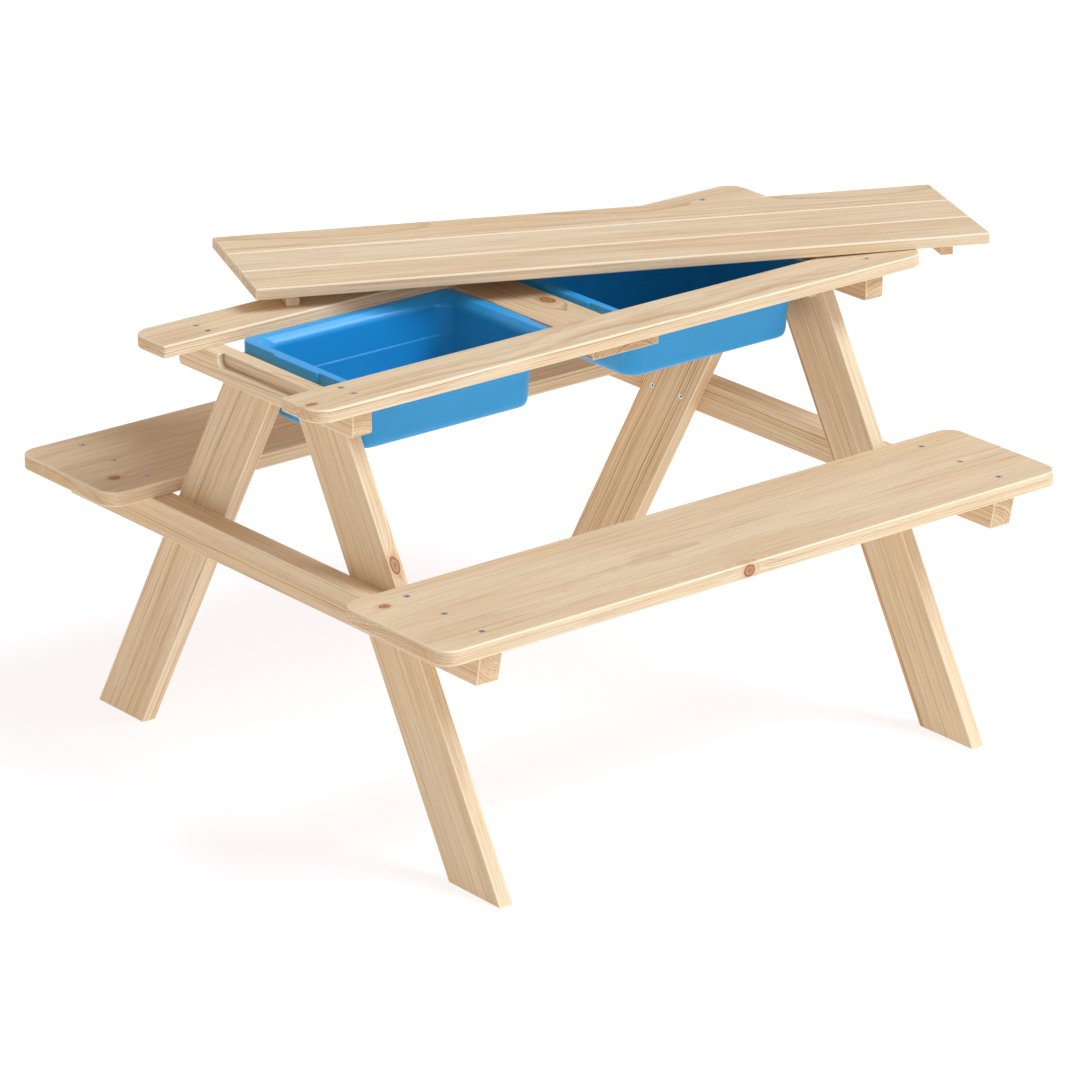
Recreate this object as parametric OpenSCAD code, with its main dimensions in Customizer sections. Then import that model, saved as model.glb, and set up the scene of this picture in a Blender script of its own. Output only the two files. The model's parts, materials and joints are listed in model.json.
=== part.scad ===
// Child's picnic-style sand and water table, millimetres.
// X runs along the table, Y from the front bench to the back bench, Z up.
// The origin is on the floor, under the centre of the table.

/* [Table top] */
// Length of the two side planks of the top
top_length = 870; // [800:5:940]
// Width of the top over both side planks
top_width = 343; // [338:1:350]
// Width of a side plank and of a lid plank
plank_w = 65; // [60:1:66]
// Thickness of a side plank
plank_t = 15; // [13:1:18]
// Height of the top above the floor
table_h = 523; // [500:1:560]
// Radius of a side plank's two outer corners
plank_corner = 23; // [12:1:28]
// Radius of a side plank's two inner corners
plank_inner_corner = 3; // [1:1:6]

/* [End frames] */
// Distance from the table's centre to an end rail's inner face
rail_x = 353; // [350:1:362]
// Thickness of an end rail
rail_t = 26; // [22:1:28]
// Height of an end rail
rail_h = 30.5; // [28:0.5:34]
// Length of an end rail
rail_l = 317; // [300:1:330]
// Radius of an end rail's lower corners
rail_corner = 5; // [2:1:8]
// Length of the finger notch in a rail's outer top edge
notch_l = 170; // [120:1:180]
// Depth of the finger notch into the rail
notch_depth = 8.7; // [5:0.1:10]
// Height of the finger notch
notch_h = 14.5; // [10:0.5:16]
// Radius of the notch's lower corners
notch_corner = 8; // [4:1:9]
// Thickness of a leg board
leg_t = 18; // [16:1:20]
// Width of a leg board
leg_w = 77.5; // [60:0.5:80]
// Distance from the table's centre line to the middle of a foot
foot_y = 330; // [320:1:340]
// Lean of a leg from upright, in degrees
leg_lean = 29.5; // [28:0.1:30.5]
// Gap between a leg's top end and the underside of the side planks
leg_gap = 12; // [11.5:0.5:16]

/* [Benches] */
// Length of a bench
bench_l = 881; // [820:1:940]
// Width of a bench
bench_w = 183; // [150:1:186]
// Thickness of a bench
bench_t = 17.5; // [15:0.5:20]
// Height of a bench above the floor
seat_h = 321.5; // [300:0.5:340]
// Width over both benches
overall_depth = 788; // [780:1:820]
// Radius of a bench's corners
bench_corner = 21; // [10:1:30]
// Thickness of a seat bearer
bearer_t = 30; // [24:1:32]
// Height of a seat bearer
bearer_h = 40; // [36:1:50]
// Length of a seat bearer along its upper edge
bearer_l = 762; // [740:1:780]
// Amount by which a bearer's end is cut back at its lower edge
bearer_cut = 8; // [4:1:12]

/* [Middle board and tub ledges] */
// Width of the middle board under the side planks
mid_w = 94; // [90:1:98]
// Width of the middle board's top between the two tubs
mid_top_w = 68.6; // [64:0.2:70]
// Length of the middle board
mid_l = 312.6; // [300:0.2:320]
// Thickness of the middle board
mid_t = 15; // [14:1:18]
// Depth of the rebate that takes a tub's rim
rebate_depth = 10.9; // [10.9:0.1:11.2]
// Length of a tub ledge
ledge_l = 200; // [160:1:210]
// Thickness of a tub ledge
ledge_t = 15; // [12:0.5:15]
// Height of a tub ledge
ledge_h = 23; // [19:1:28]

/* [Tubs] */
// Distance from the table's centre to a tub's centre
tub_x = 189.7; // [189.5:0.1:190]
// Length of a tub over its rim
tub_l = 290.4; // [289:0.1:290.4]
// Width of a tub over its rim
tub_w = 208.2; // [200:0.1:209]
// Depth of a tub below the top of its rim
tub_depth = 85; // [75:1:90]
// Height of the rim above the underside of the side planks
rim_rise = 2.6; // [2.6:0.1:3]
// Height of the rim's skirt
skirt_h = 13.3; // [13:0.1:13.4]
// Corner radius of the rim
rim_corner = 12; // [10:1:16]
// Amount by which the middle of a short side's rim stands out
rim_bulge = 2.9; // [1:0.1:2.9]
// Length of that thicker stretch of rim
bulge_l = 78; // [60:1:90]
// Wall thickness of a tub
tub_wall = 2.3; // [2:0.1:2.6]

/* [Lid] */
// Length of the lid
lid_length = 870; // [800:5:880]
// Thickness of a lid plank
lid_t = 13.5; // [12:0.5:15]
// Gap between neighbouring lid planks
lid_gap = 1; // [0.5:0.1:2]
// Width of a lid batten
batten_w = 15; // [12:1:18]
// Height of a lid batten
batten_h = 14.5; // [12:0.5:16]
// Length of a lid batten
batten_l = 166; // [150:1:180]
// Distance from the lid's centre to a batten's centre line
batten_x = 388.3; // [386:0.1:392]
// How far right of the table's centre the lid's centre lies
lid_x = 147.8; // [140:0.1:150]
// How far behind the table's centre the lid's centre lies
lid_y = 62.2; // [60:0.1:65]
// Turn of the lid about the upright axis, in degrees
lid_turn = -21.7; // [-23:0.1:-21]

/* [Screws] */
// Radius of a screw head
head_r = 4; // [3.5:0.1:4.2]
// Radius of a screw's shank
shank_r = 2; // [1.5:0.1:2.2]
// Distance from the table's centre to the side planks' screws, along X
top_screw_x = 365.6; // [362:0.1:370]
// Distance from the centre line to the middle of each pair of side plank screws
top_screw_y = 132; // [128:1:140]
// Spacing of the two screws in each end of a side plank
top_screw_gap = 22.5; // [16:0.5:26]
// Distance from the table's centre to the bench screws, along X
bench_screw_x = 370; // [366:1:372]
// Spacing of the three screws in each end of a bench
bench_screw_gap = 64; // [50:1:68]
// Spacing of the two screws that hold each leg to its bearer
bearer_screw_gap = 52; // [40:1:56]
// Spacing of the two screws that hold each leg and ledge to an end rail
rail_screw_gap = 34; // [26:1:40]
// Spacing of the two screws that hold each end of the middle board
mid_screw_gap = 54; // [40:1:60]
// Spacing of the two screws in each lid plank over a batten
lid_screw_gap = 32; // [24:1:40]

/* [Hidden] */
$fn = 48;
loft_fn = 32;
tiny = 0.01;
over = 1;
fit_gap = 0.1;
rest_gap = 0.2;

head_h = 2.6;
tip_h = 3;
recess_l = 4.6;
recess_w = 1.1;
recess_h = 1.5;
top_screw_l = 40;
bench_screw_l = 45;
bearer_screw_l = 42;
rail_screw_l = 52;
mid_screw_l = 26;
lid_screw_l = 24;

rail_top = table_h - plank_t;
leg_top = rail_top - leg_gap;
leg_x = rail_x - leg_t;
ledge_x = leg_x - ledge_t;
ledge_top = rail_top - rebate_depth;
bearer_top = seat_h - bench_t;
plank_y = (top_width - plank_w) / 2;
bench_y = (overall_depth - bench_w) / 2;
opening_w = top_width - 2 * plank_w;
rim_top = rail_top + rim_rise;

// A tub's wall, given as distances in from the rim's edge and heights from the rim's top
rim_flat = 10.2;
funnel_h = 8;
flange_t = 2.5;
wall_in = 16.5;
step_z = 44;
step_in = 19.4;
step_w = 1.6;
base_in = 23.6;
base_corner = 10;
side_corner = 22;
base_t = 2.6;

// The lid lies on its left batten and on the front plank's right outer corner
corner_reach_x = top_length / 2 - plank_corner - lid_x;
corner_reach_y = plank_corner - top_width / 2 - lid_y;
corner_along = corner_reach_x * cos(lid_turn) + corner_reach_y * sin(lid_turn) + plank_corner;
lid_tilt = atan(batten_h / (corner_along + batten_x - batten_w / 2));
lid_z = table_h + corner_along * sin(lid_tilt) + rest_gap;
lid_pitch = plank_w + lid_gap;

// ---- Colours ----
module pine() color([0.87, 0.78, 0.64]) children();
module end_pine() color([0.84, 0.73, 0.57]) children();
module blue() color([0.20, 0.58, 0.86]) children();
module zinc() color([0.78, 0.79, 0.80]) children();

// ---- Shared shapes ----
// An outline drawn in Y and Z, given a thickness along +X
module slab_yz(thickness) rotate([90, 0, 90]) linear_extrude(thickness) children();

module rounded_rect(l, w, r) {
    square([l - 2 * r, w], center = true);
    square([l, w - 2 * r], center = true);
    for (x = [-1, 1], y = [-1, 1])
        translate([x * (l / 2 - r), y * (w / 2 - r)]) circle(r);
}

// A screw that points down from its head's flat top at the origin
module screw(length) {
    difference() {
        union() {
            translate([0, 0, -head_h]) cylinder(h = head_h, r1 = shank_r, r2 = head_r);
            translate([0, 0, tip_h - length]) cylinder(h = length - tip_h - head_h + tiny, r = shank_r);
            translate([0, 0, -length]) cylinder(h = tip_h + tiny, r1 = shank_r / 4, r2 = shank_r);
        }
        for (turn = [0, 90])
            rotate([0, 0, turn]) translate([0, 0, -recess_h / 2])
                cube([recess_l, recess_w, recess_h + tiny], center = true);
    }
}

// The hole that a screw of this length sits in
module screw_hole(length) {
    translate([0, 0, -head_h - fit_gap])
        cylinder(h = head_h + fit_gap, r1 = shank_r + fit_gap, r2 = head_r + fit_gap);
    translate([0, 0, -length - fit_gap]) cylinder(h = length, r = shank_r + fit_gap);
    cylinder(h = over, r = head_r + fit_gap);
}

module at_each(sites) for (site = sites) translate(site) children();

// ---- Where the screws are ----
top_sites = [for (x = [-1, 1], y = [-1, 1], k = [-0.5, 0.5])
    [x * top_screw_x, y * (top_screw_y + k * top_screw_gap), table_h]];

bench_sites = [for (x = [-1, 1], y = [-1, 1], k = [-1, 0, 1])
    [x * bench_screw_x, y * bench_y + k * bench_screw_gap, seat_h]];

mid_sites = [for (y = [-1, 1], k = [-0.5, 0.5])
    [k * mid_screw_gap, y * plank_y, rail_top - mid_t]];

lid_sites = [for (x = [-1, 1], row = [-1, 0, 1], k = [-0.5, 0.5])
    [x * batten_x, row * (batten_l - lid_screw_gap - batten_w) / 2 + k * lid_screw_gap, -batten_h]];

function leg_y(z) = foot_y - z * tan(leg_lean);

bearer_mid_z = bearer_top - bearer_h / 2;
rail_screw_z = (rail_top - rail_h + leg_top) / 2;

// Screws that point outwards through the two legs of one end, side is -1 or 1
module end_screw_places(side, face_x, z, gap) {
    for (y = [-1, 1], k = [-0.5, 0.5])
        translate([side * face_x, y * (leg_y(z) + k * gap), z]) rotate([0, -side * 90, 0]) children();
}

module bearer_screw_places(side)
    end_screw_places(side, leg_x, bearer_mid_z, bearer_screw_gap) children();

module rail_screw_places(side)
    end_screw_places(side, ledge_x, rail_screw_z, rail_screw_gap) children();

// ---- Table top ----
// A side plank, rounded more at its two outer corners, side is -1 in front and 1 behind
module top_plank(side) pine() difference() {
    translate([0, side * plank_y, rail_top]) linear_extrude(plank_t) intersection() {
        translate([0, -side * plank_w / 2])
            rounded_rect(top_length, 2 * plank_w, plank_corner);
        translate([0, side * plank_w / 2])
            rounded_rect(top_length, 2 * plank_w, plank_inner_corner);
    }
    at_each(top_sites) screw_hole(top_screw_l);
    at_each(mid_sites) mirror([0, 0, 1]) screw_hole(mid_screw_l);
}

module front_top_plank() top_plank(-1);
module back_top_plank() top_plank(1);

// A board across the middle, rebated on both edges where the tubs' rims rest
module middle_board() pine() difference() {
    translate([-mid_w / 2, -mid_l / 2, rail_top - mid_t]) cube([mid_w, mid_l, mid_t]);
    for (side = [-1, 1])
        translate([side * (mid_top_w + mid_w) / 2, 0, rail_top])
            cube([mid_w, opening_w, 2 * rebate_depth], center = true);
    at_each(mid_sites) mirror([0, 0, 1]) screw_hole(mid_screw_l);
}

// ---- End frames ----
module end_rail(side) pine() difference() {
    translate([side * (rail_x + rail_t / 2) - rail_t / 2, 0, 0])
        slab_yz(rail_t) translate([0, rail_top - rail_h]) union() {
            translate([0, rail_h / 2]) rounded_rect(rail_l, rail_h, rail_corner);
            translate([-rail_l / 2, rail_h / 2]) square([rail_l, rail_h / 2]);
        }
    translate([side * (rail_x + rail_t) - notch_depth, 0, rail_top])
        slab_yz(2 * notch_depth) rounded_rect(notch_l, 2 * notch_h, notch_corner);
    at_each(top_sites) screw_hole(top_screw_l);
    rail_screw_places(side) screw_hole(rail_screw_l);
}

module left_end_rail() end_rail(-1);
module right_end_rail() end_rail(1);

module tub_ledge(side) end_pine() difference() {
    translate([side * (ledge_x + ledge_t / 2) - ledge_t / 2, -ledge_l / 2, ledge_top - ledge_h])
        cube([ledge_t, ledge_l, ledge_h]);
    rail_screw_places(side) screw_hole(rail_screw_l);
}

module left_tub_ledge() tub_ledge(-1);
module right_tub_ledge() tub_ledge(1);

// A leg leans in towards the top, side_x is -1 or 1 and side_y is -1 in front
module leg(side_x, side_y) pine() difference() {
    half = leg_w / 2 / cos(leg_lean);
    translate([side_x * (leg_x + leg_t / 2) - leg_t / 2, 0, 0]) slab_yz(leg_t)
        polygon([
            [side_y * (foot_y - half), 0],
            [side_y * (foot_y + half), 0],
            [side_y * (leg_y(leg_top) + half), leg_top],
            [side_y * (leg_y(leg_top) - half), leg_top]
        ]);
    bearer_screw_places(side_x) screw_hole(bearer_screw_l);
    rail_screw_places(side_x) screw_hole(rail_screw_l);
}

module front_left_leg() leg(-1, -1);
module back_left_leg() leg(-1, 1);
module front_right_leg() leg(1, -1);
module back_right_leg() leg(1, 1);

// ---- Benches ----
module seat_bearer(side) pine() difference() {
    half = bearer_l / 2;
    translate([side * (rail_x + bearer_t / 2) - bearer_t / 2, 0, bearer_top]) slab_yz(bearer_t)
        polygon([[-half, 0], [half, 0], [half - bearer_cut, -bearer_h], [bearer_cut - half, -bearer_h]]);
    bearer_screw_places(side) screw_hole(bearer_screw_l);
    at_each(bench_sites) screw_hole(bench_screw_l);
}

module left_seat_bearer() seat_bearer(-1);
module right_seat_bearer() seat_bearer(1);

module bench(side) pine() difference() {
    translate([0, side * bench_y, bearer_top]) linear_extrude(bench_t)
        rounded_rect(bench_l, bench_w, bench_corner);
    at_each(bench_sites) screw_hole(bench_screw_l);
}

module front_bench() bench(-1);
module back_bench() bench(1);

// ---- Tubs ----
// A thin slice of a tub, inset from the rim's edge, at a height below the rim's top
module tub_slice(inset, z, r) translate([0, 0, z])
    linear_extrude(tiny) rounded_rect(tub_l - 2 * inset, tub_w - 2 * inset, r, $fn = loft_fn);

// The tub's tapered body, made larger or smaller by grow, down to a base at base_z
module tub_body(grow, base_z) {
    hull() {
        tub_slice(wall_in - grow, -funnel_h, side_corner + grow);
        tub_slice(step_in - grow, -step_z, side_corner + grow);
    }
    hull() {
        tub_slice(step_in + step_w - grow, -step_z, side_corner + grow);
        tub_slice(base_in - grow, base_z + base_corner, side_corner + grow);
        tub_slice(base_in + base_corner / 3 - grow, base_z + base_corner / 3, side_corner + grow);
        tub_slice(base_in + base_corner - grow, base_z, side_corner + grow);
    }
}

module tub(side) blue() translate([side * tub_x, 0, rim_top]) difference() {
    union() {
        difference() {
            translate([0, 0, -skirt_h]) linear_extrude(skirt_h) {
                rounded_rect(tub_l, tub_w, rim_corner);
                square([tub_l + 2 * rim_bulge, bulge_l], center = true);
            }
            translate([0, 0, -skirt_h - over]) linear_extrude(skirt_h + over - flange_t)
                rounded_rect(tub_l - 2 * tub_wall, tub_w - 2 * tub_wall, rim_corner - tub_wall);
        }
        hull() {
            tub_slice(rim_flat - tub_wall, -flange_t, side_corner - rim_flat + tub_wall);
            tub_slice(wall_in, -funnel_h, side_corner);
        }
        tub_body(0, -tub_depth);
    }
    hull() {
        tub_slice(rim_flat, over, side_corner - rim_flat);
        tub_slice(rim_flat, 0, side_corner - rim_flat);
        tub_slice(wall_in + tub_wall, -funnel_h, side_corner - tub_wall);
    }
    tub_body(-tub_wall, -tub_depth + base_t);
}

module left_tub() tub(-1);
module right_tub() tub(1);

// ---- Lid ----
// Places what is drawn about the lid's centre, its underside at z = 0, where the lid lies
module on_lid() translate([lid_x, lid_y, lid_z]) rotate([0, lid_tilt, lid_turn]) children();

module lid_plank(row) pine() on_lid() difference() {
    translate([-lid_length / 2, row * lid_pitch - plank_w / 2, 0]) cube([lid_length, plank_w, lid_t]);
    at_each(lid_sites) mirror([0, 0, 1]) screw_hole(lid_screw_l);
}

module front_lid_plank() lid_plank(-1);
module middle_lid_plank() lid_plank(0);
module back_lid_plank() lid_plank(1);

module lid_batten(side) end_pine() on_lid() difference() {
    translate([side * batten_x - batten_w / 2, -batten_l / 2, -batten_h])
        cube([batten_w, batten_l, batten_h]);
    at_each(lid_sites) mirror([0, 0, 1]) screw_hole(lid_screw_l);
}

module left_lid_batten() lid_batten(-1);
module right_lid_batten() lid_batten(1);

// ---- Screws ----
module top_plank_screws() zinc() at_each(top_sites) screw(top_screw_l);
module bench_screws() zinc() at_each(bench_sites) screw(bench_screw_l);
module bearer_screws() zinc() for (side = [-1, 1]) bearer_screw_places(side) screw(bearer_screw_l);
module rail_screws() zinc() for (side = [-1, 1]) rail_screw_places(side) screw(rail_screw_l);
module middle_board_screws() zinc() at_each(mid_sites) mirror([0, 0, 1]) screw(mid_screw_l);
module lid_screws() zinc() on_lid() at_each(lid_sites) mirror([0, 0, 1]) screw(lid_screw_l);

front_top_plank();
back_top_plank();
middle_board();
left_end_rail();
right_end_rail();
left_tub_ledge();
right_tub_ledge();
front_left_leg();
back_left_leg();
front_right_leg();
back_right_leg();
left_seat_bearer();
right_seat_bearer();
front_bench();
back_bench();
left_tub();
right_tub();
front_lid_plank();
middle_lid_plank();
back_lid_plank();
left_lid_batten();
right_lid_batten();
top_plank_screws();
bench_screws();
bearer_screws();
rail_screws();
middle_board_screws();
lid_screws();
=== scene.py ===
"""The looks of the sand and water table: planed pine boards, blue plastic tubs, zinc screws.

Lengths are in millimetres unless a name or a comment says otherwise, and MM turns them into metres.
"""

import json
import math
from collections import namedtuple

import bmesh
import bpy
from mathutils import Matrix, Vector

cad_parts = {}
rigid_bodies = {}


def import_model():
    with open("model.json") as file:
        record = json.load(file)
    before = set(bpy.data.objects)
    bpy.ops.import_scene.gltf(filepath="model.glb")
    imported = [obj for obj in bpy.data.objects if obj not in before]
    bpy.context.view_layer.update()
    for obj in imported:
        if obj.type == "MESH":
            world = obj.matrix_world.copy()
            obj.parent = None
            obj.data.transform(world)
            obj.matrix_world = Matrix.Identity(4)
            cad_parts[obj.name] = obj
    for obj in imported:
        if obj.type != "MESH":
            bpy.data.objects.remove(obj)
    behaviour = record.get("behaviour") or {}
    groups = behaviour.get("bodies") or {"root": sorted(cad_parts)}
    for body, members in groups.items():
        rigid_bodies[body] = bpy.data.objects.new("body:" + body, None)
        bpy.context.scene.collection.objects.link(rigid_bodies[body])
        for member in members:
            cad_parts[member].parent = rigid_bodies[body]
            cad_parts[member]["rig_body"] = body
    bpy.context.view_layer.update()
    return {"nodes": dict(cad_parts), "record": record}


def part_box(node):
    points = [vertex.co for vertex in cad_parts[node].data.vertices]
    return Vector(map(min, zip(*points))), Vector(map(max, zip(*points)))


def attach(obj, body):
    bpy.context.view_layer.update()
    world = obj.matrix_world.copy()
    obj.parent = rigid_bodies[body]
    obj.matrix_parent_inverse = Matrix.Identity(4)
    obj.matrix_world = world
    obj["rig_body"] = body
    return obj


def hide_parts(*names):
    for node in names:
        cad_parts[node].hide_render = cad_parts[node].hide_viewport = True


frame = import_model()

MM = 0.001
X, Y, Z = Vector((1, 0, 0)), Vector((0, 1, 0)), Vector((0, 0, 1))

# ---- Camera ----
CAMERA_AZIMUTH = -38.97  # degrees, negative is to the left of the front
CAMERA_ELEVATION = 20.94  # degrees
CAMERA_DISTANCE = 6350
CAMERA_TARGET = Vector((0, -5.5, 226.8))
CAMERA_SEES_TO = 100  # metres
LENS = 186.3
SENSOR = 36

# ---- Light and floor ----
# A light's direction and its width in the sky are in degrees
Light = namedtuple("Light", "name azimuth elevation width strength colour")
LIGHTS = [
    Light("key", 36, 49, 32, 2.25, (0.86, 1.0, 1.17)),
    Light("front", -8, 10, 40, 0.52, (0.74, 1.0, 1.40)),
]
FILL_COLOUR = (0.90, 0.78, 0.745, 1)
FILL_STRENGTH = 0.55
FLOOR_REACH = 40  # metres
FLOOR_COLOUR = (0.34, 0.34, 0.34, 1)
FLOOR_GLOW = (1.0, 0.985, 0.99, 1)
FLOOR_GLOW_STRENGTH = 0.77

# ---- Edges of the boards ----
FLAT_ANGLE = math.radians(1)  # faces that meet at less than this are one face
EDGE_ANGLE = math.radians(25)  # edges sharper than this are rounded
EDGE_STEPS = 3
SCREW_CLEARANCE = 5.2  # edges this close to a screw's axis belong to its hole
WELD = 0.01  # corners closer than this are one corner


def srgb(red, green, blue):
    """A colour given in the usual 0 to 255 steps, as linear light with full opacity."""
    steps = [value / 255 for value in (red, green, blue)]
    return tuple(((s + 0.055) / 1.055) ** 2.4 if s > 0.04 else s / 12.92 for s in steps) + (1,)


# ---- Colours ----
PINE_PALE = srgb(238, 217, 182)
PINE_WARM = srgb(233, 206, 167)
PINE_TONE = srgb(244, 238, 228)
PINE_LATE = srgb(190, 143, 92)
PINE_CANAL = srgb(150, 112, 74)
PINE_END = srgb(243, 230, 210)
# Paler colour for the rounded edges: partly sanding wear, partly a painted highlight
PINE_EDGE_WEAR_AND_HIGHLIGHT = srgb(248, 230, 198)
KNOT_PALE = srgb(200, 150, 106)
KNOT_DARK = srgb(162, 106, 70)
KNOT_RIM = srgb(118, 74, 48)
KNOT_HALO = srgb(212, 158, 104)

PLASTIC_DEEP = srgb(38, 159, 220)
PLASTIC_BRIGHT = srgb(42, 164, 226)
# Painted shade: the inside of the tubs is a deeper blue, as if less light reaches into them
PLASTIC_INSIDE_SHADE = srgb(18, 135, 202)
PLASTIC_BOUNCE = srgb(205, 160, 112)
PLASTIC_GLOW = srgb(30, 160, 235)

ZINC_COOL = srgb(232, 234, 237)
ZINC_WARM = srgb(236, 235, 232)
# Painted shade for the screws' cross recesses and the edges of their heads
ZINC_PAINTED_SHADE = srgb(92, 92, 98)


# ---- Where things are, read from the frame ----
def centre(node):
    low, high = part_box(node)
    return (low + high) / 2


MOUNTS = {mount["name"]: Vector(mount["pos_m"]) for mount in frame["record"]["mounts"]}


def along_x(node):
    return X, Y, Z


def along_y(node):
    return Y, -X, Z


def along_leg(node):
    """A leg's grain runs from the middle of its foot to the middle of its top end."""
    low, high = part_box(node)
    foot = MOUNTS[node.replace("leg", "foot")]
    side = math.copysign(1, foot.y)
    outer, inner = (high.y, low.y) if side > 0 else (low.y, high.y)
    top = Vector((foot.x, inner + (outer - foot.y), high.z))
    along = (top - foot).normalized()
    return along, X.cross(along), X


def along_lid(node):
    along = (centre("right_lid_batten") - centre("left_lid_batten")).normalized()
    across = (centre("back_lid_plank") - centre("front_lid_plank")).normalized()
    return along, across, along.cross(across)


def across_lid(node):
    along, across, up = along_lid(node)
    return across, -along, up


# ---- The boards ----
# axes gives a board's own directions: along the grain, over its width and through its thickness.
# pith is where the middle of the tree lies from the board's centre, over the width and thickness.
# ring is about the width of a year, late how strongly the late wood shows, edge how far the edges are
# rounded, and tone how much of the greyer tint the board has.
Board = namedtuple("Board", "node axes pith ring late edge tone")
BOARDS = [
    Board("front_top_plank", along_x, (18, -190), 3.0, 0.95, 1.9, 0.40),
    Board("back_top_plank", along_x, (-22, -210), 3.2, 0.92, 1.9, 0.45),
    Board("middle_board", along_y, (-12, -40), 3.4, 1.55, 1.3, 0.75),
    Board("left_end_rail", along_y, (8, -58), 2.9, 0.75, 1.3, 0.45),
    Board("right_end_rail", along_y, (-10, -62), 3.0, 0.72, 1.3, 0.55),
    Board("left_tub_ledge", along_y, (14, -38), 3.0, 0.75, 1.2, 0.50),
    Board("right_tub_ledge", along_y, (-14, 42), 3.0, 0.75, 1.2, 0.40),
    Board("front_left_leg", along_leg, (64, 26), 3.0, 0.78, 1.4, 0.46),
    Board("back_left_leg", along_leg, (52, -34), 2.9, 0.76, 1.4, 0.42),
    Board("front_right_leg", along_leg, (-60, -30), 3.0, 0.78, 1.4, 0.44),
    Board("back_right_leg", along_leg, (-64, 20), 4.2, 1.90, 1.4, 1.00),
    Board("left_seat_bearer", along_y, (-22, 30), 3.1, 1.10, 1.3, 0.46),
    Board("right_seat_bearer", along_y, (20, -34), 3.1, 1.05, 1.3, 0.55),
    Board("front_bench", along_x, (-30, -390), 3.1, 0.80, 1.9, 0.42),
    Board("back_bench", along_x, (40, -330), 3.0, 1.05, 1.9, 0.55),
    Board("front_lid_plank", along_lid, (14, -95), 2.9, 0.70, 2.2, 0.48),
    Board("middle_lid_plank", along_lid, (-40, -140), 3.1, 0.80, 2.2, 0.36),
    Board("back_lid_plank", along_lid, (26, -160), 3.0, 0.80, 2.2, 0.56),
    Board("left_lid_batten", across_lid, (24, -30), 3.0, 0.75, 0.9, 0.50),
    Board("right_lid_batten", across_lid, (-24, 32), 3.0, 0.75, 0.9, 0.45),
]

FAR = 9.0  # in knot radii, where a knot no longer shows
# A knot is given from its board's centre, along the grain, over the width and through the thickness.
# length is how many times longer it is along the grain than across it, and branch says whether the
# branch ran through the thickness or the width.
Knot = namedtuple("Knot", "place radius length branch")
KNOTS = {
    "middle_board": [Knot((3, -18, 0), 7.4, 1.35, "thickness")],
    "front_top_plank": [Knot((-423, -6, 7), 3.0, 2.2, "thickness")],
    "front_bench": [
        Knot((-407, 55.5, 9), 4.8, 1.3, "thickness"),
        Knot((-24, -91, 0), 6.6, 1.1, "width"),
    ],
    "back_bench": [Knot((-404, -48.5, 9), 5.0, 1.3, "thickness")],
    "front_left_leg": [Knot((77, 38, -1), 5.7, 1.7, "width")],
    "right_seat_bearer": [Knot((210, 12, 4), 6.0, 1.2, "width")],
    "back_top_plank": [Knot((236, 24, 2), 5.5, 1.3, "thickness")],
}


# ---- Sizes of the wood's markings, along the grain and across it ----
WANDER = (330, 160)
RIPPLE = (55, 16)
FADING = (210, 30)
STREAKS = (240, 3.4)
STROKES = (130, 1.7)
FIBRES = (42, 0.85)
CANALS = (17, 0.7)
PATCHES = (300, 48)
DENTS = (60, 24)
SEED_STEP = (977.0, 131.0, 171.0)  # how far a board lies from the others in the noise, for a seed of 1
SEED_FIRST = 1.3
SEED_APART = 3.7


# ---- Shader graphs ----
class Graph:
    """Adds nodes to a node tree, so that a chain of them reads as a formula."""

    def __init__(self, tree):
        self.tree = tree

    def node(self, kind, inputs=None, **settings):
        made = self.tree.nodes.new(kind)
        for name, value in settings.items():
            setattr(made, name, value)
        for name, value in (inputs or {}).items():
            self.feed(made.inputs[name], value)
        return made

    def feed(self, socket, value):
        if isinstance(value, bpy.types.NodeSocket):
            self.tree.links.new(value, socket)
        else:
            socket.default_value = value

    def math(self, operation, *values, clamp=False):
        made = self.node("ShaderNodeMath", operation=operation, use_clamp=clamp)
        for socket, value in zip(made.inputs, values):
            self.feed(socket, value)
        return made.outputs[0]

    def vector(self, operation, *values):
        made = self.node("ShaderNodeVectorMath", operation=operation)
        for socket, value in zip(made.inputs, values):
            self.feed(socket, value)
        return made.outputs["Value" if operation in ("LENGTH", "DOT_PRODUCT") else "Vector"]

    def scaled(self, vector, factor):
        made = self.node("ShaderNodeVectorMath", {"Vector": vector, "Scale": factor}, operation="SCALE")
        return made.outputs["Vector"]

    def drawn_out(self, vector, size):
        """A point of a board in units of a marking's size along the grain and across it."""
        along, across = size
        return self.vector("MULTIPLY", vector, (1 / along, 1 / across, 1 / across))

    def split(self, vector):
        return self.node("ShaderNodeSeparateXYZ", {"Vector": vector}).outputs

    def join(self, x, y, z):
        return self.node("ShaderNodeCombineXYZ", {"X": x, "Y": y, "Z": z}).outputs["Vector"]

    def step(self, value, low, high, start=0.0, end=1.0):
        """A smooth step from start at low to end at high."""
        inputs = {"Value": value, "From Min": low, "From Max": high, "To Min": start, "To Max": end}
        return self.node("ShaderNodeMapRange", inputs, interpolation_type="SMOOTHSTEP").outputs["Result"]

    def noise(self, vector, detail=2.0, roughness=0.5, scale=1.0):
        inputs = {"Vector": vector, "Scale": scale, "Detail": detail, "Roughness": roughness}
        return self.node("ShaderNodeTexNoise", inputs).outputs["Fac"]

    def noise_vector(self, vector, detail=1.0):
        """Noise from -0.5 to 0.5 on each axis."""
        inputs = {"Vector": vector, "Scale": 1.0, "Detail": detail}
        colour = self.node("ShaderNodeTexNoise", inputs).outputs["Color"]
        return self.vector("SUBTRACT", colour, (0.5, 0.5, 0.5))

    def mix(self, factor, first, second, blend="MIX"):
        made = self.node("ShaderNodeMix", data_type="RGBA", blend_type=blend)
        for index, value in ((0, factor), (6, first), (7, second)):
            self.feed(made.inputs[index], value)
        return made.outputs[2]


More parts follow.
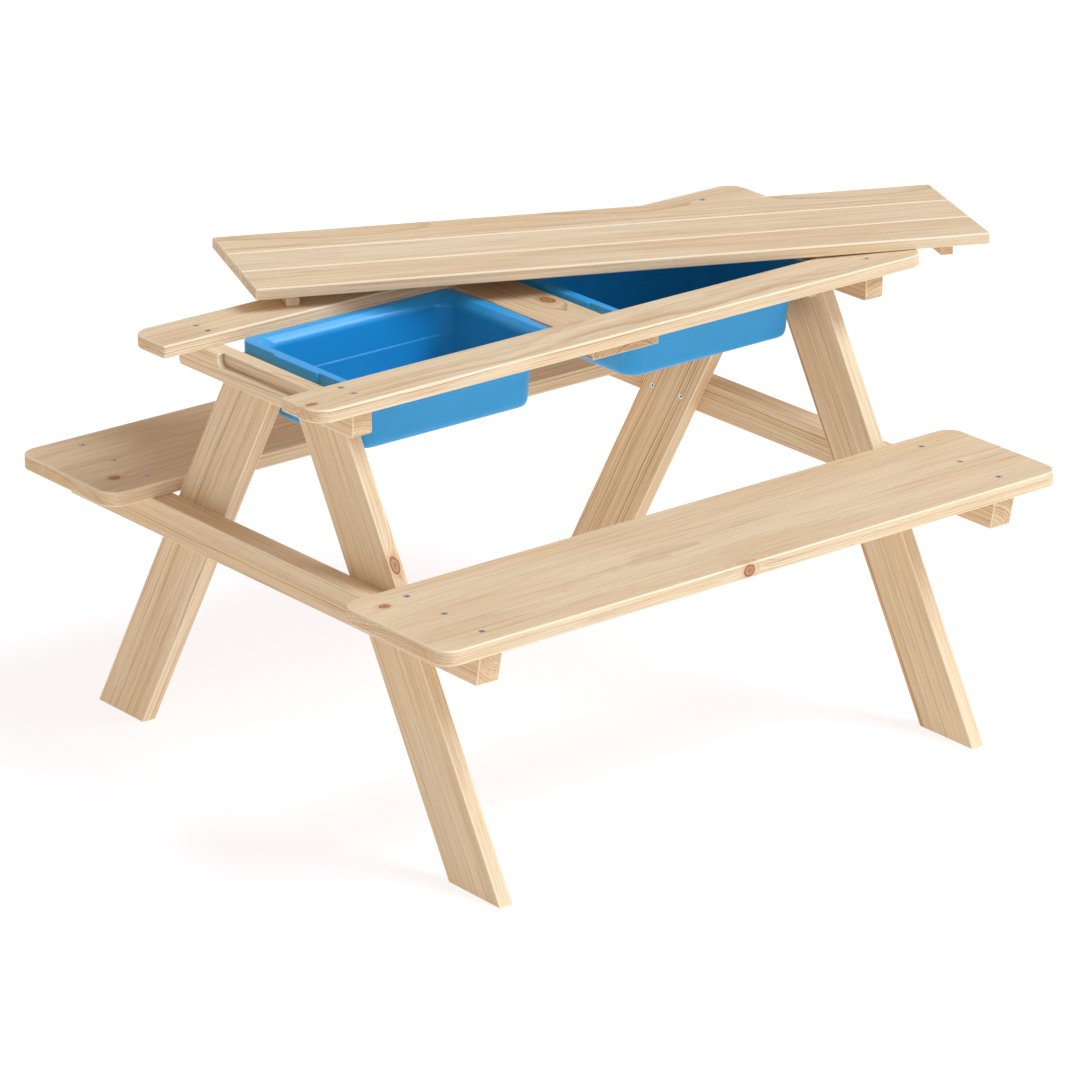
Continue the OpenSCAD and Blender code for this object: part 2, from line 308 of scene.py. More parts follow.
def new_group(name, inputs, outputs):
    """An empty node group, with its graph, its inputs by name and its output node."""
    tree = bpy.data.node_groups.new(name, "ShaderNodeTree")
    kinds = {"float": "NodeSocketFloat", "vector": "NodeSocketVector", "colour": "NodeSocketColor"}
    for in_out, sockets in (("INPUT", inputs), ("OUTPUT", outputs)):
        for socket, kind in sockets.items():
            tree.interface.new_socket(socket, in_out=in_out, socket_type=kinds[kind])
    graph = Graph(tree)
    return graph, graph.node("NodeGroupInput").outputs, graph.node("NodeGroupOutput").inputs


def finish_group(graph, sockets, values):
    for name, value in values.items():
        graph.feed(sockets[name], value)
    return graph.tree


def knot_group():
    """How a knot bends the grain round it, and how far a point is from it, in knot radii."""
    inputs = {"Point": "vector", "Place": "vector", "Radius": "float", "Length": "float", "Width": "float"}
    outputs = {"Shift": "vector", "Swell": "float", "Reach": "float"}
    graph, given, result = new_group("knot", inputs, outputs)
    away = graph.vector("SUBTRACT", given["Point"], given["Place"])
    wobble = graph.noise_vector(graph.scaled(given["Point"], 0.13))
    away = graph.vector("ADD", away, graph.scaled(wobble, 2.4))
    u, v, w = graph.split(away)
    through_width = given["Width"]
    through_thickness = graph.math("SUBTRACT", 1.0, through_width)
    across = graph.math(
        "ADD", graph.math("MULTIPLY", v, through_thickness), graph.math("MULTIPLY", w, through_width)
    )
    depth = graph.math(
        "ADD", graph.math("MULTIPLY", w, through_thickness), graph.math("MULTIPLY", v, through_width)
    )
    radius = given["Radius"]
    short_u = graph.math("DIVIDE", u, given["Length"])
    near = graph.math("ADD", graph.math("POWER", short_u, 2.0), graph.math("POWER", across, 2.0))
    reach = graph.math("DIVIDE", graph.math("SQRT", near), radius)
    # The grain parts round the knot as a stream parts round a post that is longer than it is wide
    long_u = graph.math("DIVIDE", u, 2.4)
    spread = graph.math("ADD", graph.math("POWER", long_u, 2.0), graph.math("POWER", across, 2.0))
    area = graph.math("POWER", radius, 2.0)
    share = graph.math("DIVIDE", area, graph.math("MAXIMUM", spread, area))
    fade = graph.step(graph.math("ABSOLUTE", depth), 6.0, 17.0, 1.0, 0.0)
    push = graph.math("MULTIPLY", graph.math("MULTIPLY", across, share), graph.math("MULTIPLY", fade, -1.0))
    shift = graph.join(0.0, graph.math("MULTIPLY", push, through_thickness),
                       graph.math("MULTIPLY", push, through_width))
    swell = graph.math("MULTIPLY", graph.math("EXPONENT", graph.math("MULTIPLY", reach, -0.55)), fade)
    hidden = graph.step(graph.math("ABSOLUTE", depth), 8.0, 16.0, 0.0, FAR)
    reach = graph.math("ADD", reach, hidden)
    return finish_group(graph, result, {"Shift": shift, "Swell": swell, "Reach": reach})


def pine_group():
    """Planed pine at a point of a board, from growth rings round the tree's pith."""
    inputs = {
        "Point": "vector", "Pith": "vector", "Ring": "float", "Seed": "float", "Late": "float",
        "Tone": "float", "Facing": "vector", "Rounded": "float",
        "Shift": "vector", "Swell": "float", "Reach": "float",
    }
    outputs = {"Colour": "colour", "Roughness": "float", "Height": "float"}
    graph, given, result = new_group("pine", inputs, outputs)
    point = given["Point"]
    apart = graph.vector("ADD", point, graph.scaled(graph.join(*SEED_STEP), given["Seed"]))

    # Growth rings: the distance from the pith, which wanders along the tree
    wander = graph.noise_vector(graph.drawn_out(apart, WANDER))
    wander = graph.vector("MULTIPLY", wander, (0.0, 16.0, 16.0))
    ripple = graph.noise_vector(graph.drawn_out(apart, RIPPLE), 2.0)
    ripple = graph.vector("MULTIPLY", ripple, (0.0, 1.5, 1.5))
    place = graph.vector("SUBTRACT", graph.vector("ADD", point, given["Shift"]), given["Pith"])
    place = graph.vector("ADD", graph.vector("ADD", place, wander), ripple)
    x, y, z = graph.split(place)
    radius = graph.math("SQRT", graph.math("ADD", graph.math("POWER", y, 2.0), graph.math("POWER", z, 2.0)))
    years = graph.math("DIVIDE", radius, given["Ring"])
    slow_years = graph.math("ADD", graph.math("MULTIPLY", years, 0.42), given["Seed"])
    inputs = {"W": slow_years, "Scale": 1.0, "Detail": 1.0}
    uneven = graph.node("ShaderNodeTexNoise", inputs, noise_dimensions="1D").outputs["Fac"]
    years = graph.math("ADD", years, graph.math("MULTIPLY", uneven, 2.6))
    years = graph.math("SUBTRACT", years, graph.math("MULTIPLY", given["Swell"], 4.2))
    year = graph.math("FLOOR", years)
    season = graph.math("FRACT", years)
    rise = graph.step(season, 0.30, 0.90)
    fall = graph.step(season, 0.93, 1.0, 1.0, 0.0)
    latewood = graph.math("MULTIPLY", graph.math("POWER", rise, 1.6), fall)
    inputs = {"W": graph.math("ADD", year, given["Seed"])}
    luck = graph.node("ShaderNodeTexWhiteNoise", inputs, noise_dimensions="1D").outputs["Value"]
    vigour = graph.math("ADD", 0.26, graph.math("MULTIPLY", graph.math("POWER", luck, 3.2), 1.25))
    fading = graph.noise(graph.drawn_out(apart, FADING), 2.0)
    vigour = graph.math("MULTIPLY", vigour, graph.step(fading, 0.25, 0.62, 0.45, 1.1))
    # Where a face runs along a ring, the ring's colour spreads out and pales
    facing_u, facing_v, facing_w = graph.split(given["Facing"])
    inward = graph.math("ADD", graph.math("MULTIPLY", y, facing_v), graph.math("MULTIPLY", z, facing_w))
    along_ring = graph.math("POWER", graph.math("DIVIDE", inward, radius), 2.0)
    spread = graph.math("SUBTRACT", 1.0, graph.math("MULTIPLY", along_ring, 0.58))
    late = graph.math("MULTIPLY", graph.math("MULTIPLY", latewood, vigour), given["Late"])
    late = graph.math("MULTIPLY", late, spread, clamp=True)

    # Fibres, streaks and resin canals, all drawn out along the grain
    streaks = graph.noise(graph.drawn_out(apart, STREAKS), 3.0, 0.6)
    strokes = graph.noise(graph.drawn_out(apart, STROKES), 2.0, 0.5)
    strokes = graph.step(strokes, 0.55, 0.70)
    fibres = graph.noise(graph.drawn_out(apart, FIBRES), 3.0, 0.6)
    canals = graph.noise(graph.drawn_out(apart, CANALS), 1.0)
    canals = graph.step(canals, 0.67, 0.76)
    patches = graph.noise(graph.drawn_out(apart, PATCHES), 2.0)

    colour = graph.mix(graph.step(patches, 0.32, 0.68), PINE_PALE, PINE_WARM)
    colour = graph.mix(given["Tone"], colour, graph.mix(1.0, colour, PINE_TONE, "MULTIPLY"))
    colour = graph.mix(late, colour, PINE_LATE)
    colour = graph.mix(graph.math("MULTIPLY", strokes, 0.50), colour, PINE_LATE)
    streak_shade = graph.step(streaks, 0.28, 0.72, 0.92, 1.06)
    fibre_shade = graph.step(fibres, 0.2, 0.8, 0.95, 1.045)
    shade = graph.math("MULTIPLY", streak_shade, fibre_shade)
    colour = graph.mix(1.0, colour, graph.join(shade, shade, shade), "MULTIPLY")
    colour = graph.mix(graph.math("MULTIPLY", canals, 0.40), colour, PINE_CANAL)

    # End grain drinks in light, and the rounded edges are painted paler, partly as sanding wear and partly
    # as a painted highlight along them.
    end = graph.step(graph.math("ABSOLUTE", facing_u), 0.35, 0.95)
    end = graph.math("MULTIPLY", end, graph.step(latewood, 0.0, 1.0, 0.30, 0.85))
    colour = graph.mix(end, colour, graph.mix(1.0, colour, PINE_END, "MULTIPLY"))
    colour = graph.mix(graph.math("MULTIPLY", given["Rounded"], 0.7), colour, PINE_EDGE_WEAR_AND_HIGHLIGHT)

    # A knot: its own rings, a dark rim of bark and a resinous halo
    reach = given["Reach"]
    ragged = graph.math("ADD", reach, graph.math("MULTIPLY", fibres, 0.3))
    rings = graph.math("SINE", graph.math("MULTIPLY", ragged, 15.0))
    heart = graph.mix(graph.step(rings, -1.0, 1.0, 0.1, 0.8), KNOT_PALE, KNOT_DARK)
    heart = graph.mix(graph.step(reach, 0.05, 0.32, 0.7, 0.0), heart, KNOT_RIM)
    inside = graph.step(reach, 0.90, 1.02, 1.0, 0.0)
    halo = graph.step(reach, 0.95, 2.4, 0.55, 0.0)
    rim = graph.math("MULTIPLY", graph.step(reach, 0.78, 0.95), graph.step(reach, 0.98, 1.14, 1.0, 0.0))
    colour = graph.mix(halo, colour, KNOT_HALO)
    colour = graph.mix(inside, colour, heart)
    colour = graph.mix(graph.math("MULTIPLY", rim, 0.8), colour, KNOT_RIM)

    gloss = graph.math("MULTIPLY", late, -0.10)
    gloss = graph.math("ADD", gloss, graph.step(fibres, 0.2, 0.8, 0.50, 0.64))
    roughness = graph.math("ADD", gloss, graph.math("MULTIPLY", inside, -0.14))
    ridge = graph.math("MULTIPLY", latewood, graph.math("MULTIPLY", vigour, 0.055))
    nap = graph.math("ADD", graph.math("MULTIPLY", fibres, 0.10), graph.math("MULTIPLY", streaks, 0.09))
    dents = graph.noise(graph.drawn_out(apart, DENTS), 2.0)
    height = graph.math("ADD", graph.math("ADD", ridge, nap), graph.math("MULTIPLY", dents, 0.35))
    height = graph.math("SUBTRACT", height, graph.math("MULTIPLY", canals, 0.06))
    height = graph.math("ADD", height, graph.math("MULTIPLY", inside, graph.math("MULTIPLY", rings, 0.05)))
    return finish_group(graph, result, {"Colour": colour, "Roughness": roughness, "Height": height})


GROUPS = {"knot": knot_group(), "pine": pine_group()}


def board_axes(board):
    """A board's directions as the rows of a matrix, and its centre."""
    return Matrix(board.axes(board.node)), centre(board.node)


def empty_material(name):
    """A material with nothing in it yet, and the graph that fills it."""
    material = bpy.data.materials.new(name)
    material.use_nodes = True
    material.node_tree.nodes.clear()
    return material, Graph(material.node_tree)


def object_point(graph):
    """Where a point lies on its object, in millimetres."""
    return graph.scaled(graph.node("ShaderNodeTexCoord").outputs["Object"], 1 / MM)


def surface(graph, height, strength, inputs):
    """A surface with fine relief, whose height is in millimetres."""
    bump = graph.node("ShaderNodeBump", {"Height": height, "Distance": MM, "Strength": strength})
    shader = graph.node("ShaderNodeBsdfPrincipled", {"Normal": bump.outputs["Normal"], **inputs})
    graph.node("ShaderNodeOutputMaterial", {"Surface": shader.outputs["BSDF"]})


def pine_material(board, seed):
    """Pine whose grain follows one board, bent round that board's knots."""
    material, graph = empty_material("pine_" + board.node)
    rows, middle = board_axes(board)
    coordinates = graph.node("ShaderNodeTexCoord").outputs
    mapping = graph.node("ShaderNodeMapping", {"Vector": coordinates["Object"]})
    mapping.inputs["Scale"].default_value = (1 / MM, 1 / MM, 1 / MM)
    mapping.inputs["Rotation"].default_value = rows.to_euler()
    mapping.inputs["Location"].default_value = -(rows @ middle) / MM
    point = mapping.outputs["Vector"]
    facing = graph.join(*[graph.vector("DOT_PRODUCT", coordinates["Normal"], tuple(row)) for row in rows])
    rounded = graph.node("ShaderNodeAttribute", attribute_name="rounded").outputs["Fac"]
    inputs = {
        "Point": point, "Pith": (0.0, *board.pith), "Ring": board.ring, "Late": board.late,
        "Tone": board.tone, "Seed": seed * SEED_APART + SEED_FIRST,
        "Facing": facing, "Rounded": rounded, "Reach": FAR,
    }
    for knot in KNOTS.get(board.node, []):
        bend = graph.node("ShaderNodeGroup", node_tree=GROUPS["knot"])
        values = {
            "Point": point, "Place": knot.place, "Radius": knot.radius, "Length": knot.length,
            "Width": float(knot.branch == "width"),
        }
        for name, value in values.items():
            graph.feed(bend.inputs[name], value)
        found = bend.outputs
        if "Shift" in inputs:
            inputs["Shift"] = graph.vector("ADD", inputs["Shift"], found["Shift"])
            inputs["Swell"] = graph.math("ADD", inputs["Swell"], found["Swell"])
            inputs["Reach"] = graph.math("MINIMUM", inputs["Reach"], found["Reach"])
        else:
            inputs.update(Shift=found["Shift"], Swell=found["Swell"], Reach=found["Reach"])
    wood = graph.node("ShaderNodeGroup", node_tree=GROUPS["pine"])
    for name, value in inputs.items():
        graph.feed(wood.inputs[name], value)
    made = wood.outputs
    inputs = {"Base Color": made["Colour"], "Roughness": made["Roughness"], "Specular IOR Level": 0.32}
    surface(graph, made["Height"], 0.8, inputs)
    return material


def plastic_material():
    """Satin blue polypropylene with a fine moulded texture and faint flow marks, painted a deeper blue
    inside as painted shade.
    """
    material, graph = empty_material("blue_plastic_tub")
    point = object_point(graph)
    flow = graph.noise(graph.vector("MULTIPLY", point, (1 / 90, 1 / 90, 1 / 40)), 3.0, 0.55)
    speckle = graph.noise(point, 2.0, 0.6, scale=1.6)
    orange_peel = graph.noise(point, 2.0, 0.5, scale=0.22)
    wipes = graph.noise(point, 3.0, 0.6, scale=1 / 22)
    colour = graph.mix(graph.step(flow, 0.3, 0.7), PLASTIC_DEEP, PLASTIC_BRIGHT)
    # Painted shade: the inside of the tub is painted a deeper blue
    inside = graph.node("ShaderNodeAttribute", attribute_name="inside").outputs["Fac"]
    colour = graph.mix(inside, colour, PLASTIC_INSIDE_SHADE)
    # Light that the tubs pass on has some of the warm tint that sand in them would give it
    passed_on = graph.node("ShaderNodeLightPath").outputs["Is Diffuse Ray"]
    colour = graph.mix(graph.math("MULTIPLY", passed_on, 0.7), colour, PLASTIC_BOUNCE)
    roughness = graph.step(wipes, 0.3, 0.75, 0.30, 0.35)
    orange_peel = graph.math("MULTIPLY", orange_peel, 0.004)
    height = graph.math("ADD", graph.math("MULTIPLY", speckle, 0.002), orange_peel)
    # The faint glow stands for daylight that comes through the thin walls
    surface(graph, height, 0.7, {
        "Base Color": colour, "Roughness": roughness, "IOR": 1.54, "Specular IOR Level": 0.5,
        "Emission Color": PLASTIC_GLOW, "Emission Strength": 0.05,
    })
    return material


def screw_material():
    """Bright zinc plate with cloudy tarnish, grit and small scratches, with painted shade in its cross
    recess and round the edge of its head.
    """
    material, graph = empty_material("zinc_plate")
    point = object_point(graph)
    cloud = graph.noise(point, 2.0, 0.5, scale=0.5)
    grit = graph.noise(point, 3.0, 0.7, scale=4.0)
    scratches = graph.noise(graph.vector("MULTIPLY", point, (0.6, 7.0, 0.6)), 2.0, 0.6)
    colour = graph.mix(graph.step(cloud, 0.3, 0.7), ZINC_COOL, ZINC_WARM)
    # Painted shade: the zinc is darkened in the cross recess and round the edge of the head
    dull = graph.node("ShaderNodeAttribute", attribute_name="dull").outputs["Fac"]
    colour = graph.mix(dull, colour, ZINC_PAINTED_SHADE)
    roughness = graph.step(grit, 0.25, 0.8, 0.24, 0.44)
    height = graph.math("ADD", graph.math("MULTIPLY", grit, 0.012), graph.math("MULTIPLY", scratches, 0.02))
    surface(graph, height, 0.6, {"Base Color": colour, "Roughness": roughness, "Metallic": 1.0})
    return material


# ---- Screws, as the frame has them ----
SCREW_NODES = [name for name in frame["nodes"] if name.endswith("_screws")]
END_SLICE = 0.3  # corners this close to a screw's end belong to it


def linked_parts(mesh):
    """The separate solids of a bmesh, each as a list of its corner points."""
    parts = []
    seen = set()
    for start in mesh.verts:
        if start in seen:
            continue
        seen.add(start)
        part, waiting = [], [start]
        while waiting:
            vert = waiting.pop()
            part.append(vert.co.copy())
            for edge in vert.link_edges:
                other = edge.other_vert(vert)
                if other not in seen:
                    seen.add(other)
                    waiting.append(other)
        parts.append(part)
    return parts


def screw_parts(node):
    """Every screw of a CAD node: its corner points and the two ends of its axis."""
    mesh = bmesh.new()
    mesh.from_mesh(frame["nodes"][node].data)
    bmesh.ops.remove_doubles(mesh, verts=mesh.verts, dist=WELD * MM)
    found = []
    for part in linked_parts(mesh):
        size = [max(values) - min(values) for values in zip(*part)]
        longest = size.index(max(size))
        reach = sorted(co[longest] for co in part)
        ends = []
        for extreme in (reach[0], reach[-1]):
            near = [co for co in part if abs(co[longest] - extreme) < END_SLICE * MM]
            ends.append(sum(near, Vector()) / len(near))
        found.append((part, *ends))
    mesh.free()
    return found


def screw_lines():
    """The two ends of every screw's axis."""
    return [(start, end) for node in SCREW_NODES for _, start, end in screw_parts(node)]


SCREW_LINES = screw_lines()


def at_a_screw(place):
    """Whether a place is close enough to a screw's axis to belong to its hole."""
    for start, end in SCREW_LINES:
        along = end - start
        share = max(-0.1, min(1.1, (place - start).dot(along) / along.length_squared))
        if (start + along * share - place).length < SCREW_CLEARANCE * MM:
            return True
    return False


# ---- Boards with rounded edges ----
def add_piece(name, mesh, material, body, node):
    """Makes an evenly shaded object of a bmesh that rides on a body and stands for a CAD node."""
    data = bpy.data.meshes.new(name)
    mesh.to_mesh(data)
    mesh.free()
    data.materials.append(material)
    piece = bpy.data.objects.new(name, data)
    bpy.context.scene.collection.objects.link(piece)
    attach(piece, body)
    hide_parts(node)
    soften = piece.modifiers.new("even_shading", "WEIGHTED_NORMAL")
    soften.mode = "FACE_AREA"
    soften.weight = 100


def board_piece(board, seed):
    """The CAD board with its long edges and corners sanded round."""
    cad = frame["nodes"][board.node]
    mesh = bmesh.new()
    mesh.from_mesh(cad.data)
    bmesh.ops.remove_doubles(mesh, verts=mesh.verts, dist=WELD * MM)
    bmesh.ops.dissolve_limit(mesh, angle_limit=FLAT_ANGLE, verts=mesh.verts, edges=mesh.edges)
    rounded = mesh.faces.layers.float.new("rounded")
    corners = [
        edge for edge in mesh.edges
        if edge.is_manifold and edge.is_convex and edge.calc_face_angle() > EDGE_ANGLE
        and not at_a_screw((edge.verts[0].co + edge.verts[1].co) / 2)
    ]
    made = bmesh.ops.bevel(
        mesh, geom=corners, offset=board.edge * MM, offset_type="OFFSET", segments=EDGE_STEPS,
        profile=0.5, affect="EDGES", clamp_overlap=True,
    )
    for face in mesh.faces:
        face.smooth = True
        face.material_index = 0
    # The rounded faces are marked for the paler edge colour: sanding wear and a painted highlight
    for face in made["faces"]:
        face[rounded] = 1.0
    add_piece(board.node + "_wood", mesh, pine_material(board, seed), cad["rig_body"], board.node)


# ---- Turned screws ----
# A screw from the bottom of its cross recess, over its head and down to its tip: the outline's
# radius, its depth below the head's top, how much it follows the cross and how much shade is painted on.
# Where the outline follows the cross, its radius is a share of the cross's own reach.
Turn = namedtuple("Turn", "radius depth cross dull")
SCREW_TURNS = [
    Turn(0.35, 1.9, 0, 1), Turn(0.55, 1.85, 0.8, 1), Turn(0.94, 0.5, 1, 1), Turn(1, 0.28, 1, 0.7),
    Turn(1.1, 0.18, 1, 0), Turn(2.75, 0.16, 0, 0), Turn(3.1, 0.04, 0, 0), Turn(3.3, 0.02, 0, 0.1),
    Turn(3.5, 0.12, 0, 0.7), Turn(3.75, 0.45, 0, 1),
]
SHANK_RADIUS = 2
HEAD_DEPTH = 2.6
TIP_LENGTH = 3
TIP_RADIUS = 0.5
ARM_LENGTH = 2.3
ARM_HALF_WIDTH = 0.6
SCREW_TWIST = 2.4  # radians between the crosses of one screw and the next


def cross_radius(angle):
    """How far the cross recess reaches from the screw's middle at an angle, given in radians."""
    off = abs((angle + math.pi / 4) % (math.pi / 2) - math.pi / 4)
    if math.tan(off) * ARM_LENGTH < ARM_HALF_WIDTH * 1.001:
        return ARM_LENGTH / math.cos(off)
    return ARM_HALF_WIDTH / math.sin(off)


def screw_angles():
    """Directions round a screw that take in the corners of its cross."""
    corner = math.degrees(math.atan(ARM_HALF_WIDTH / ARM_LENGTH))
    quarter = [-corner, -corner / 2, 0, corner / 2, corner, 22, 32, 45, 58, 68]
    return [math.radians(90 * turn + angle) for turn in range(4) for angle in quarter]


def turned_screw(mesh, head, tip, twist):
    """Adds one screw, turned about the line from the middle of its head to its tip."""
    inward = (tip - head).normalized()
    side = inward.orthogonal().normalized()
    up = inward.cross(side)
    length = (tip - head).length / MM
    turns = SCREW_TURNS + [
        Turn(SHANK_RADIUS, HEAD_DEPTH, 0, 0.5), Turn(SHANK_RADIUS, length - TIP_LENGTH, 0, 0.5),
        Turn(TIP_RADIUS, length, 0, 0.5),
    ]
    # How much shade is painted on each ring of the screw
    dull = mesh.verts.layers.float["dull"]
    rings = []
    for turn in turns:
        ring = []
        for angle in screw_angles():
            reach = turn.radius * (turn.cross * cross_radius(angle) + 1 - turn.cross)
            around = side * math.cos(angle + twist) + up * math.sin(angle + twist)
            vert = mesh.verts.new(head + (around * reach + inward * turn.depth) * MM)
            vert[dull] = turn.dull
            ring.append(vert)
        rings.append(ring)
    count = len(rings[0])
    for here, there in zip(rings, rings[1:]):
        for i in range(count):
            mesh.faces.new((here[i], here[(i + 1) % count], there[(i + 1) % count], there[i]))
    mesh.faces.new(rings[0])
    mesh.faces.new(rings[-1])


def head_first(part, start, end):
    """A screw's two ends with the wider one, its head, first."""
    along = (end - start).normalized()

    def width_at(place):
        near = [co - place for co in part if abs((co - place).dot(along)) < END_SLICE * MM]
        return max((out - along * out.dot(along)).length for out in near)

    return (start, end) if width_at(start) > width_at(end) else (end, start)


def screws_piece(node, material):
    """The screws of one CAD node, each with a dished head and a tapered cross recess."""
    mesh = bmesh.new()
    mesh.verts.layers.float.new("dull")
    for number, (part, start, end) in enumerate(screw_parts(node)):
        head, tip = head_first(part, start, end)
        turned_screw(mesh, head, tip, number * SCREW_TWIST)
    bmesh.ops.recalc_face_normals(mesh, faces=mesh.faces)
    for face in mesh.faces:
        face.smooth = True
    body = frame["nodes"][node]["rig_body"]
    add_piece(node + "_turned", mesh, material, body, node)


# ---- Tubs ----
RIM_CORNER = 12
BULGE_OUT = 2.9
BULGE_LENGTH = 78
BULGE_RAMP = 1.6
CORNER_STEPS = 12
SIDE_STEPS = 6
SKIRT = 13.3
WALL = 2.3
BASE_THICKNESS = 2.6

INSIDE_SHADE_FROM = 1.5  # below the rim's top, where the painted shade inside the tub starts
INSIDE_SHADE_OVER = 12

# A level of a tub is its distance in from the rim's edge, its height from the rim's top and its corner
# radius, with how much of the rim's bulge it has and how far from the bend its fillet starts
Level = namedtuple("Level", "inset z corner bulge fillet")


def tub_levels(depth):
    """The tub's section, from the middle of its floor over the rim and back underneath."""
    floor = BASE_THICKNESS - depth
    return [
        Level(35.9, floor, 12, 0, 0),
        Level(25.2, floor, 17, 0, 9),
        Level(23.3, -44.6, 19, 0, 0.5),
        Level(21.7, -44, 19.7, 0, 0.6),
        Level(18.8, -8, 19.7, 0, 5),
        Level(10.2, 0, 13, 0, 1.5),
        Level(0, 0, RIM_CORNER, 1, 1.2),
        Level(0, -SKIRT, RIM_CORNER, 1, 0.7),
        Level(WALL, -SKIRT, RIM_CORNER - WALL, 0, 0.7),
        Level(WALL, -2.5, RIM_CORNER - WALL, 0, 0.6),
        Level(7.9, -2.5, 14.1, 0, 2),
        Level(16.5, -8, 22, 0, 3),
        Level(19.4, -44, 22, 0, 0.6),
        Level(21.0, -44.6, 21.6, 0, 0.5),
        Level(23.6, -depth, 20, 0, 10),
        Level(33.6, -depth, 12, 0, 0),
    ]


def rounded_levels(levels, steps=5):
    """Replaces each bend of the section by a short curve that starts and ends fillet away from it."""
    result = [levels[0]]
    for before, here, after in zip(levels, levels[1:], levels[2:]):
        if here.fillet == 0:
            result.append(here)
            continue
        ends = []
        for other in (before, after):
            length = math.hypot(other.inset - here.inset, other.z - here.z)
            share = min(here.fillet / length, 0.48)
            ends.append(Level(*(h + (o - h) * share for h, o in zip(here, other))))
        for step in range(steps + 1):
            t = step / steps
            blend = ((1 - t) ** 2, 2 * t * (1 - t), t ** 2)
            points = zip(ends[0], here, ends[1])
            result.append(Level(*(sum(b * p for b, p in zip(blend, trio)) for trio in points)))
    result.append(levels[-1])
    return result


def ring_outline(half_l, half_w, radius, bulge):
    """Points round a rounded rectangle, whose two short sides stand out by bulge in the middle."""
    reach = BULGE_LENGTH / 2
    marks = [reach + BULGE_RAMP, reach + BULGE_RAMP * 0.65, reach + BULGE_RAMP * 0.35, reach, reach * 0.5]
    stands = [0, 0.18, 0.82, 1, 1]
    short = [(mark, stand) for mark, stand in zip(marks, stands)] + [(0, 1)]
    short += [(-mark, stand) for mark, stand in zip(reversed(marks), reversed(stands))]
    points = []
    for quarter in range(4):
        centre_x = (half_l - radius) * (1 if quarter in (0, 3) else -1)
        centre_y = (half_w - radius) * (1 if quarter in (0, 1) else -1)
        for step in range(CORNER_STEPS + 1):
            angle = math.radians(90 * (quarter + step / CORNER_STEPS))
            points.append((centre_x + radius * math.cos(angle), centre_y + radius * math.sin(angle)))
        if quarter in (0, 2):
            side = 1 if quarter == 0 else -1
            for step in range(1, SIDE_STEPS):
                share = 1 - 2 * step / SIDE_STEPS
                points.append((side * share * (half_l - radius), side * half_w))
        else:
            side = -1 if quarter == 1 else 1
            for mark, stand in short:
                points.append((side * (half_l + bulge * stand), -side * mark))
    return points


def tub_piece(node, material):
    """A thin moulded tub, lofted through rings from its floor, over the rim and down the outside."""
    low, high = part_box(node)
    middle = (low + high) / 2
    half_l = (high.x - low.x) / 2 / MM - BULGE_OUT
    half_w = (high.y - low.y) / 2 / MM
    depth = (high.z - low.z) / MM
    mesh = bmesh.new()
    inside = mesh.verts.layers.float.new("inside")
    past_rim = False
    rings = []
    for level in rounded_levels(tub_levels(depth)):
        past_rim = past_rim or level.bulge > 0
        # Painted shade: below the rim, the inside of the tub is marked to be painted a deeper blue
        inside_shade = 0 if past_rim else max(0, min(1, (-level.z - INSIDE_SHADE_FROM) / INSIDE_SHADE_OVER))
        radius = max(level.corner, 1)
        outline = ring_outline(half_l - level.inset, half_w - level.inset, radius, BULGE_OUT * level.bulge)
        ring = []
        for x, y in outline:
            vert = mesh.verts.new((middle.x + x * MM, middle.y + y * MM, high.z + level.z * MM))
            vert[inside] = inside_shade
            ring.append(vert)
        rings.append(ring)
    count = len(rings[0])
    for lower, upper in zip(rings, rings[1:]):
        for i in range(count):
            mesh.faces.new((lower[i], lower[(i + 1) % count], upper[(i + 1) % count], upper[i]))
    mesh.faces.new(rings[0])
    mesh.faces.new(reversed(rings[-1]))
    bmesh.ops.recalc_face_normals(mesh, faces=mesh.faces)
    for face in mesh.faces:
        face.smooth = True
    add_piece(node + "_shell", mesh, material, node, node)


# ---- Making the object ----
for seed, board in enumerate(BOARDS):
    board_piece(board, seed)

plastic = plastic_material()
for node in ("left_tub", "right_tub"):
    tub_piece(node, plastic)

zinc = screw_material()
for node in SCREW_NODES:
    screws_piece(node, zinc)


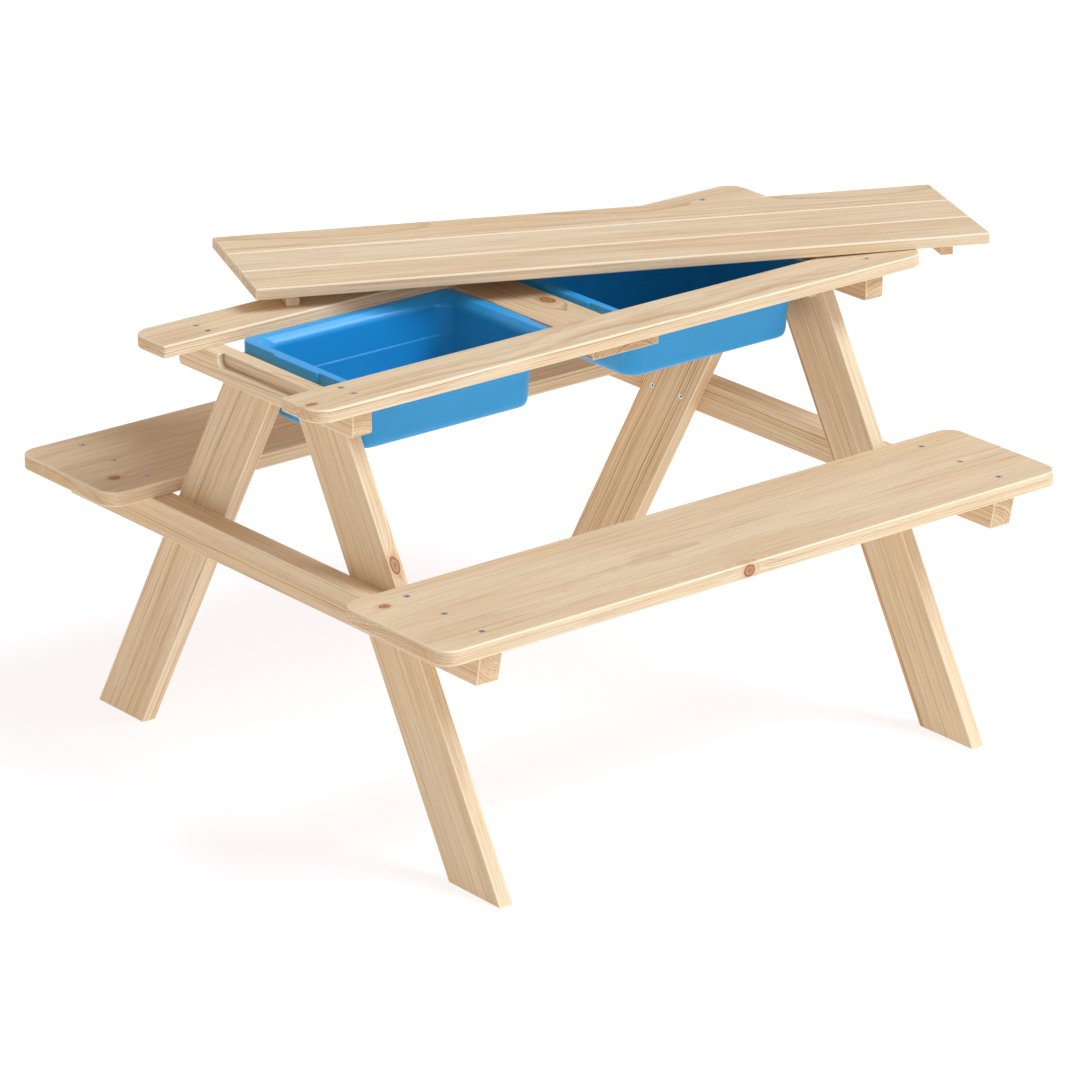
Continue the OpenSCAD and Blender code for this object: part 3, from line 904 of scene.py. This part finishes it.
# ---- Floor, light and camera ----
def floor():
    mesh = bmesh.new()
    bmesh.ops.create_grid(mesh, x_segments=1, y_segments=1, size=FLOOR_REACH)
    data = bpy.data.meshes.new("floor")
    mesh.to_mesh(data)
    mesh.free()
    material = bpy.data.materials.new("floor")
    material.use_nodes = True
    shader = material.node_tree.nodes["Principled BSDF"]
    shader.inputs["Base Color"].default_value = FLOOR_COLOUR
    shader.inputs["Roughness"].default_value = 1.0
    shader.inputs["Specular IOR Level"].default_value = 0.0
    shader.inputs["Emission Color"].default_value = FLOOR_GLOW
    shader.inputs["Emission Strength"].default_value = FLOOR_GLOW_STRENGTH
    data.materials.append(material)
    made = bpy.data.objects.new("floor", data)
    bpy.context.scene.collection.objects.link(made)


def world():
    """Soft warm light from all round, with a plain white background for the camera."""
    made = bpy.data.worlds.new("studio")
    bpy.context.scene.world = made
    made.use_nodes = True
    made.node_tree.nodes.clear()
    graph = Graph(made.node_tree)
    fill = graph.node("ShaderNodeBackground", {"Color": FILL_COLOUR, "Strength": FILL_STRENGTH})
    plain = graph.node("ShaderNodeBackground", {"Color": (1, 1, 1, 1), "Strength": 1.0})
    seen = graph.node("ShaderNodeLightPath").outputs["Is Camera Ray"]
    both = graph.node("ShaderNodeMixShader", {0: seen, 1: fill.outputs[0], 2: plain.outputs[0]})
    graph.node("ShaderNodeOutputWorld", {"Surface": both.outputs[0]})


def direction(azimuth, elevation):
    """A unit vector; azimuth 0 is in front of the table and 90 to its right, in degrees."""
    a, e = math.radians(azimuth), math.radians(elevation)
    return Vector((math.sin(a) * math.cos(e), -math.cos(a) * math.cos(e), math.sin(e)))


def soft_light(light):
    """Even light from one side of the studio."""
    data = bpy.data.lights.new(light.name, "SUN")
    data.angle = math.radians(light.width)
    data.energy = light.strength
    data.color = light.colour
    made = bpy.data.objects.new(light.name, data)
    bpy.context.scene.collection.objects.link(made)
    towards = direction(light.azimuth, light.elevation)
    made.rotation_euler = towards.to_track_quat("Z", "Y").to_euler()


def camera():
    data = bpy.data.cameras.new("camera")
    data.lens = LENS
    data.sensor_width = SENSOR
    data.clip_end = CAMERA_SEES_TO
    made = bpy.data.objects.new("camera", data)
    bpy.context.scene.collection.objects.link(made)
    back = direction(CAMERA_AZIMUTH, CAMERA_ELEVATION)
    made.location = (CAMERA_TARGET + back * CAMERA_DISTANCE) * MM
    made.rotation_euler = (math.radians(90 - CAMERA_ELEVATION), 0, math.radians(CAMERA_AZIMUTH))
    bpy.context.scene.camera = made


floor()
world()
for light in LIGHTS:
    soft_light(light)
camera()
bpy.context.scene.view_settings.view_transform = "Standard"
